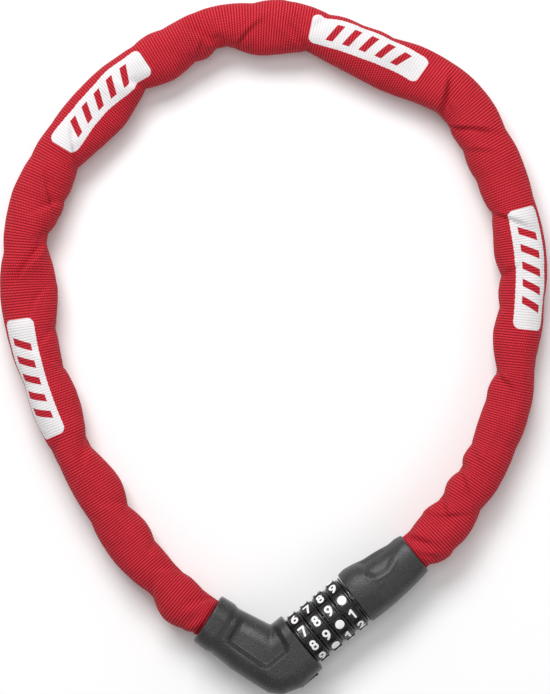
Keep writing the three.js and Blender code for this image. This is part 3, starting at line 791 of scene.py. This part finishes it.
# ---- the bolt end ----
BOLT_FACE, BOLT_LENGTH = 30.5, 34.4
BOLT_TURN = math.radians(-1)
BOLT_SEAM = 0.08
BOLT_SQUARENESS = 2.25
# Distance from the face, half widths on the +Y and -Y sides, half height.
BOLT_SECTIONS = np.array([
    (-4, 13.0, 12.9, 12.5), (0, 13.3, 13.05, 12.6), (3, 13.8, 13.15, 12.8), (6, 13.6, 13.15, 12.9),
    (10, 12.8, 13.1, 12.8), (13.5, 12.0, 13.0, 12.2), (18, 11.6, 12.6, 11.6), (22, 11.1, 12.25, 11.1),
    (27.5, 10.35, 11.6, 10.5), (30.5, 10.5, 11.1, 10.4), (34.4, 10.0, 10.4, 10.2), (38, 9.6, 10, 10)])
DENT = [(40.6, 5.5), (41.5, 3.8), (43.6, 1.6), (47, 0.7), (50.5, 0.5), (54.6, 2), (58.6, 4.1),
        (66, 8.5), (66, 22), (44, 22), (40.4, 12)]
DENT_DEPTH, DENT_RISE, DENT_LIP = 1.15, 0.75, 0.14
SHAFT_BORE, CARRIER_CHAMBER, BOLT_MOUTH = (29, 34, 3.5), (33.2, 50, 8.25), (17, 60, 9.35)
BOLT_SCREWS = [(36.5, 9.6), (36.5, -9.6)]
BOLT_WELL_RADIUS, BOLT_WELL_FLOOR = 1.9, -4.6
BOLT_BOX = ([29.5, -15, -14.5], [67.5, 15, 14.5])


def smooth_table(places, values, at):
    """A smooth curve through values at places."""
    slope = np.gradient(values, places)
    k = np.clip(np.searchsorted(places, at) - 1, 0, len(places) - 2)
    h = places[k + 1] - places[k]
    t = np.clip((at - places[k]) / h, 0, 1)
    return ((2 * t ** 3 - 3 * t ** 2 + 1) * values[k] + (t ** 3 - 2 * t ** 2 + t) * h * slope[k]
            + (3 * t ** 2 - 2 * t ** 3) * values[k + 1] + (t ** 3 - t ** 2) * h * slope[k + 1])


def dent_height(x, y, z):
    """A thumb dent in the top that gets shallower towards the chain, with a slight lip round it."""
    outline = polygon(DENT, x, y)
    depth = DENT_DEPTH - DENT_RISE * smoothstep((x - 50) / 9)
    lip = np.exp(-((outline - 0.3) / 0.7) ** 2) * smoothstep((z - 3) / 3) * (1 - smoothstep((x - 55) / 5))
    return depth * smoothstep(-outline / 3.2) * smoothstep((z - 1) / 4) - DENT_LIP * lip


def bolt_field(x, y, z):
    dx = x - BOLT_FACE
    u = dx * math.cos(BOLT_TURN) + y * math.sin(BOLT_TURN)
    v = -dx * math.sin(BOLT_TURN) + y * math.cos(BOLT_TURN)
    at, left, right, tall = BOLT_SECTIONS.T
    wide = np.where(v > 0, smooth_table(at, left, u), smooth_table(at, right, u))
    high = smooth_table(at, tall, u)
    power = BOLT_SQUARENESS
    ring = (np.abs(v / wide) ** power + np.abs(z / high) ** power) ** (1 / power)
    body = (ring - 1) * np.minimum(wide, high) + dent_height(x, y, z)
    body = smooth_max(smooth_max(body, -u, 0.45), u - BOLT_LENGTH, 1.2)
    hollow = np.minimum(tube(x, y, z, *SHAFT_BORE), tube(x, y, z, *CARRIER_CHAMBER))
    hollow = np.minimum(hollow, tube(u, v, z, *BOLT_MOUTH))
    for px, py in BOLT_SCREWS:
        well = np.maximum(np.hypot(x - px, y - py) - BOLT_WELL_RADIUS, z - BOLT_WELL_FLOOR)
        hollow = np.minimum(hollow, well)
    return smooth_max(body, -hollow, 0.12)


def bolt_end_top(x, y, z):
    return smooth_max(bolt_field(x, y, z), BOLT_SEAM - z, 0.25)


def bolt_end_bottom(x, y, z):
    return smooth_max(bolt_field(x, y, z), z + BOLT_SEAM, 0.25)


field_piece("bolt_end_top", bolt_end_top, BOLT_BOX, STEP, soft_touch,
            "bolt_end", "soft_touch", "bolt_cover_upper")
field_piece("bolt_end_bottom", bolt_end_bottom, BOLT_BOX, STEP, soft_touch,
            "bolt_end", "soft_touch", "bolt_cover_lower")

# ---- small parts ----
END_RING_MIDDLE, END_RING_HALF = 29.75, 0.45
END_RING_RADIUS, END_RING_REACH = 8.95, 3.35
KEYWAY_HALF, KEYWAY_DEPTH = 1.7, 8
TAB_X, TAB_Y = -9.45, -15.0
TAB_HALF_LENGTH, TAB_HALF_DEPTH, TAB_HALF_HEIGHT = 5.05, 1.5, 3
RIB_PITCH, RIB_DEPTH = 1.5, 0.28
TAB_STEM = ((-10.6, -14, -2), (-8, -9.6, 2))


def end_ring_field(x, y, z):
    disc = np.abs(np.hypot(y, z) - END_RING_RADIUS) - END_RING_REACH
    ring = pillow(disc, np.abs(x - END_RING_MIDDLE) - END_RING_HALF, 0.25)
    keyway = np.maximum(np.abs(y) - KEYWAY_HALF, between(z, 0, KEYWAY_DEPTH))
    return smooth_max(ring, -keyway, 0.1)


def tab_field(x, y, z):
    """The reset tab: a rounded block with grip ribs on its face, on a stem."""
    side = np.abs(x - TAB_X)
    face = np.maximum(side - TAB_HALF_LENGTH, np.abs(z) - TAB_HALF_HEIGHT)
    tab = pillow(face, np.abs(y - TAB_Y) - TAB_HALF_DEPTH, 0.6)
    ribs = np.abs(((x - TAB_X) / RIB_PITCH) % 1 - 0.5) * 2
    grip = RIB_DEPTH * smoothstep((ribs - 0.35) / 0.4) * smoothstep((4 - side) / 0.6)
    tab = tab + grip * smoothstep((-y - 15.6) / 0.5)
    return np.minimum(tab, block(x, y, z, *TAB_STEM))


field_piece("end_ring_rim", end_ring_field, ([28.9, -13, -13], [30.6, 13, 13]), FINE, hard_shell,
            "lock_body", "hard_shell", "end_ring")
field_piece("reset_tab", tab_field, ([-15.2, -17.3, -3.8], [-3.8, -9, 3.8]), FINE, hard_shell,
            "reset_slider", "hard_shell", "reset_slider")

CROSS_HALF, CROSS_REACH, CROSS_DEPTH = 0.22, 0.66, 0.9
DOME_HEIGHT, HEAD_THICKNESS = 0.35, 1.6


def screw_piece(node, place, face, head, length, shank, body):
    """A domed cross-head screw that points up: its face's height, head radius, length and shank radius."""
    px, py = place

    def field(x, y, z):
        dx, dy, r = np.abs(x - px), np.abs(y - py), np.hypot(x - px, y - py)
        dome = DOME_HEIGHT * (1 - (r / head) ** 2)
        cap = pillow(r - head, between(z, face - dome, face + HEAD_THICKNESS), 0.25)
        rod = np.maximum(r - shank, between(z, face, face + length))
        cross = np.minimum(np.maximum(dx - CROSS_HALF * head, dy - CROSS_REACH * head),
                           np.maximum(dy - CROSS_HALF * head, dx - CROSS_REACH * head))
        cross = np.maximum(cross, z - face - CROSS_DEPTH)
        return smooth_max(np.minimum(cap, rod), -cross, 0.06)

    low = [px - head - 0.5, py - head - 0.5, face - 1]
    high = [px + head + 0.5, py + head + 0.5, face + length + 0.6]
    return field_piece(f"{node}_head", field, (low, high), FINE, lock_steel, body, "lock_steel", node)


for number, place in enumerate(ELBOW_SCREWS):
    screw_piece(f"elbow_screw_{number + 1}", place, 0.9 - HOUSING_HALF, 2.7, 8, 1.3, "lock_body")
for number, place in enumerate(BOLT_SCREWS):
    screw_piece(f"bolt_cover_screw_{number + 1}", place, -6.1, 1.7, 6, 0.8, "bolt_end")

# ---- the code wheels ----
WHEELS, DIGITS, PITCH = 4, 10, 7.55
STEP_TURN = 2 * math.pi / DIGITS
FIRST_DIGIT = (6, 7, 8, 9)
FIRST_DIGIT_TURN = math.radians(-54)
TOP_RADIUS, GROOVE_RADIUS = 12.95, 11.85
TILE_SIDE, TILE_TURN = 2.46, math.radians(13.4)
TILE_SLOPE, TILE_TURN_SLOPE = 0.26, 0.024
# The bead at each face of a wheel: (distance from the wheel's middle, radius).
WHEEL_EDGE = [(3.65, 11.2), (3.6, 11.65), (3.4, 11.95), (3.15, 12.08), (2.72, 12.1), (2.6, 12.02)]
WHEEL_BORE = [(3.65, 9.3), (3.4, 9.05), (-3.4, 9.05), (-3.65, 9.3)]
# Where the mesh has its lines, close together at a tile's edges: across half a wheel, and over half a tile.
ACROSS = [0, 0.9, 1.6, 2.05, 2.18, 2.22, 2.27, 2.33, 2.4, 2.45, 2.48, 2.52, 2.6, 2.72, 2.95,
          3.15, 3.3, 3.4, 3.5, 3.6, 3.64, 3.65]
OVER = [0, 4, 8, 11, 11.7, 12, 12.2, 12.5, 12.8, 13.1, 13.35, 13.5, 13.8, 14.6, 16]
RIM_RING = [(-0.14, 9), (-0.14, 12.15), (0, 12.3), (0.12, 12.15), (0.12, 9)]
RIM_RING_MIDDLE, RIM_RING_SIDES = -1.17, 96


def both_sides(half):
    return np.array([-value for value in reversed(half)] + half[1:])


def ring_piece(name, x, radius, turn, material):
    """A ring about the bolt's axis: row i of radius is the closed profile at turn i, over the places x."""
    points = np.stack([np.broadcast_to(x, radius.shape), -radius * np.sin(turn)[:, None],
                       radius * np.cos(turn)[:, None]], -1)
    sides, count = radius.shape
    i, j = np.meshgrid(np.arange(sides), np.arange(count), indexing="ij")
    next_i, next_j = (i + 1) % sides, (j + 1) % count
    faces = np.stack([i * count + j, i * count + next_j, next_i * count + next_j, next_i * count + j], -1)
    return mesh_piece(name, from_lock(points.reshape(-1, 3)), faces.reshape(-1, 4), material)


def wheel_radius(x, turn):
    """Radius of a wheel at x from its middle and a turn from the nearest number's middle."""
    x, turn = np.abs(x), np.abs(turn)
    edge_x, edge_radius = np.array(WHEEL_EDGE).T
    rise = np.minimum(np.clip((TILE_SIDE - x) / TILE_SLOPE, 0, 1),
                      np.clip((TILE_TURN - turn) / TILE_TURN_SLOPE, 0, 1))
    low = np.where(x < 2.5, GROOVE_RADIUS, np.interp(-x, -edge_x, edge_radius))
    return low + (TOP_RADIUS - low) * (rise * 0.75 + 0.25 * smoothstep(rise))


def wheel_piece(index):
    """A code wheel: a bead at each face, and ten raised tiles whose tops are parts of one cylinder."""
    x = both_sides(ACROSS)
    near = np.radians(np.r_[-18, both_sides(OVER)])
    turn = np.concatenate([near + STEP_TURN * (digit + 0.5) for digit in range(DIGITS)])
    outer = wheel_radius(x[None, :], np.tile(near, DIGITS)[:, None])
    bore_x, bore_radius = np.array(WHEEL_BORE).T
    radius = np.concatenate([outer, np.broadcast_to(bore_radius, (len(turn), len(bore_radius)))], 1)
    made = ring_piece(f"wheel_{index + 1}", np.r_[x, bore_x] + FIRST_WHEEL + PITCH * index, radius, turn,
                      wheel_gloss)
    return settle(made, f"wheel_{index + 1}", "wheel_plastic", f"code_wheel_{index + 1}")


# Each number as strokes about its middle: a list is a line through points, and a tuple is an arc
# (middle x, middle y, radius, from, to in degrees).
STROKES = {
    1: [[(-1.05, 1.05), (0.3, 2.0), (0.3, -2.0)]],
    2: [(-0.05, 0.85, 1.12, 165, -35), [(0.87, 0.21), (-1.15, -2.0), (1.25, -2.0)]],
    3: [(-0.1, 1.0, 1.0, 150, -90), (-0.1, -0.9, 1.12, 90, -150)],
    4: [[(0.5, -2.0), (0.5, 2.0), (-1.3, -0.8), (1.3, -0.8)]],
    5: [[(1.1, 2.0), (-0.85, 2.0), (-1.0, 0.15)], (-0.08, -0.75, 1.25, 135, -145)],
    6: [(0, -0.8, 1.2, 0, 360), [(-1.2, -0.8), (-0.95, 0.5), (-0.3, 1.4), (0.7, 2.0)]],
    7: [[(-1.25, 2.0), (1.2, 2.0), (-0.4, -2.0)]],
    8: [(0, 1.05, 0.98, 0, 360), (0, -0.9, 1.15, 0, 360)],
    9: [(0, 0.8, 1.2, 0, 360), [(1.2, 0.8), (0.95, -0.5), (0.3, -1.4), (-0.7, -2.0)]],
}
STROKE_HALF = 0.5
ARC_POINTS = 25
DOT_RADIUS = 2.1
INK_SIZE, INK_THICKNESS = 1.03, 0.16
GLYPH_BOX = ([-2.4, -2.8, -0.5], [2.4, 2.8, 0.5])


def stroke_distance(stroke, x, y):
    if isinstance(stroke, tuple):
        cx, cy, radius, first, last = stroke
        turn = np.radians(np.linspace(first, last, ARC_POINTS))
        stroke = list(zip(cx + radius * np.cos(turn), cy + radius * np.sin(turn)))
    nearest = np.inf
    for (ax, ay), (bx, by) in zip(stroke, stroke[1:]):
        ex, ey = bx - ax, by - ay
        t = np.clip(((x - ax) * ex + (y - ay) * ey) / (ex * ex + ey * ey), 0, 1)
        nearest = np.minimum(nearest, np.hypot(x - ax - ex * t, y - ay - ey * t))
    return nearest


def number_field(number):
    """A bold number 5 mm tall as a thin plate; nought is a dot."""
    def field(x, y, z):
        if number:
            flat = np.min([stroke_distance(stroke, x, y) for stroke in STROKES[number]], 0) - STROKE_HALF
        else:
            flat = np.hypot(x, y) - DOT_RADIUS
        return smooth_max(flat, np.abs(z) - INK_THICKNESS, 0.05)
    return field


GLYPHS = [surface_nets(number_field(number), *GLYPH_BOX, INK_STEP) for number in range(DIGITS)]


def numbers_piece(index):
    """A wheel's ten numbers, bent round the tops of its tiles."""
    points, faces, count = [], [], 0
    for step in range(DIGITS):
        shape, quads = GLYPHS[(FIRST_DIGIT[index] + step) % DIGITS]
        height = TOP_RADIUS + shape[:, 2]
        turn = FIRST_DIGIT_TURN + STEP_TURN * step - shape[:, 1] * INK_SIZE / TOP_RADIUS
        points.append(np.stack([shape[:, 0] * INK_SIZE + FIRST_WHEEL + PITCH * index,
                                -height * np.sin(turn), height * np.cos(turn)], 1))
        faces += (quads + count).tolist()
        count += len(shape)
    made = mesh_piece(f"wheel_{index + 1}_numbers", from_lock(np.concatenate(points)), faces, number_ink)
    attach(made, f"wheel_{index + 1}")


for index in range(WHEELS):
    wheel_piece(index)
    numbers_piece(index)

rim_x, rim_radius = np.array(RIM_RING).T
rim_turn = 2 * math.pi * np.arange(RIM_RING_SIDES) / RIM_RING_SIDES
rim_rows = np.broadcast_to(rim_radius, (RIM_RING_SIDES, len(rim_radius)))
rim = ring_piece("rim_ring", rim_x + RIM_RING_MIDDLE, rim_rows, rim_turn, wheel_gloss)
settle(rim, "lock_body", "hard_shell")
print("lock built")

# ---- floor, light and camera ----
FLOOR_REACH, FLOOR_POINTS = 3000.0, 12
# Lamps: name, place in metres, size in metres, power in watts.
LAMPS = [
    ("key", (-0.3, 0.95, 1.25), (1.0, 0.6), 21),
    ("fill", (1.2, -0.6, 1.2), (1.2, 1.0), 4),
    ("overhead", (-0.1, 0.3, 1.9), (0.9, 0.6), 6),
]
SKY = 0.36
SENSOR, LENS = 36.0, 180.0
VIEW_HEIGHT = 319.2
SUBJECT_HEIGHT = 14.0
VIEW_MIDDLE = (-0.2, 0.3)


def build_floor():
    n = Nodes("pale_floor")
    cloud = n.noise(3.0, 2.0)
    shade = n.mix(cloud, (0.9, 0.9, 0.905, 1), (0.93, 0.93, 0.93, 1))
    at, count = np.linspace(-FLOOR_REACH, FLOOR_REACH, FLOOR_POINTS), FLOOR_POINTS
    points = [(x, y, 0.0) for x in at for y in at]
    faces = [[i * count + j, (i + 1) * count + j, (i + 1) * count + j + 1, i * count + j + 1]
             for i in range(count - 1) for j in range(count - 1)]
    mesh_piece("floor", points, faces, n.finish(shade, 0.75, cloud, 0.00001))


def area_light(name, place, size, power):
    """A rectangular lamp that points at the middle of the object."""
    lamp = bpy.data.lights.new(name, "AREA")
    lamp.shape, lamp.size, lamp.size_y, lamp.energy = "RECTANGLE", size[0], size[1], power
    made = bpy.data.objects.new(name, lamp)
    bpy.context.scene.collection.objects.link(made)
    made.location = place
    made.rotation_euler = (-Vector(place)).to_track_quat("-Z", "Y").to_euler()


def build_sky():
    world = bpy.data.worlds.new("studio")
    world.use_nodes = True
    background = world.node_tree.nodes["Background"]
    background.inputs["Color"].default_value = (1, 1, 1, 1)
    background.inputs["Strength"].default_value = SKY
    bpy.context.scene.world = world
    bpy.context.scene.view_settings.view_transform = "Standard"


def build_camera():
    """Straight above, far enough back for the view's height to fill the frame at the subject's height."""
    lens = bpy.data.cameras.new("photo_camera")
    lens.sensor_fit, lens.sensor_width, lens.lens = "AUTO", SENSOR, LENS
    lens.clip_end = 10
    camera = bpy.data.objects.new("photo_camera", lens)
    camera.location = Vector((*VIEW_MIDDLE, SUBJECT_HEIGHT + VIEW_HEIGHT * LENS / SENSOR)) * MM
    bpy.context.scene.collection.objects.link(camera)
    bpy.context.scene.camera = camera


build_floor()
for lamp_row in LAMPS:
    area_light(*lamp_row)
build_sky()
build_camera()
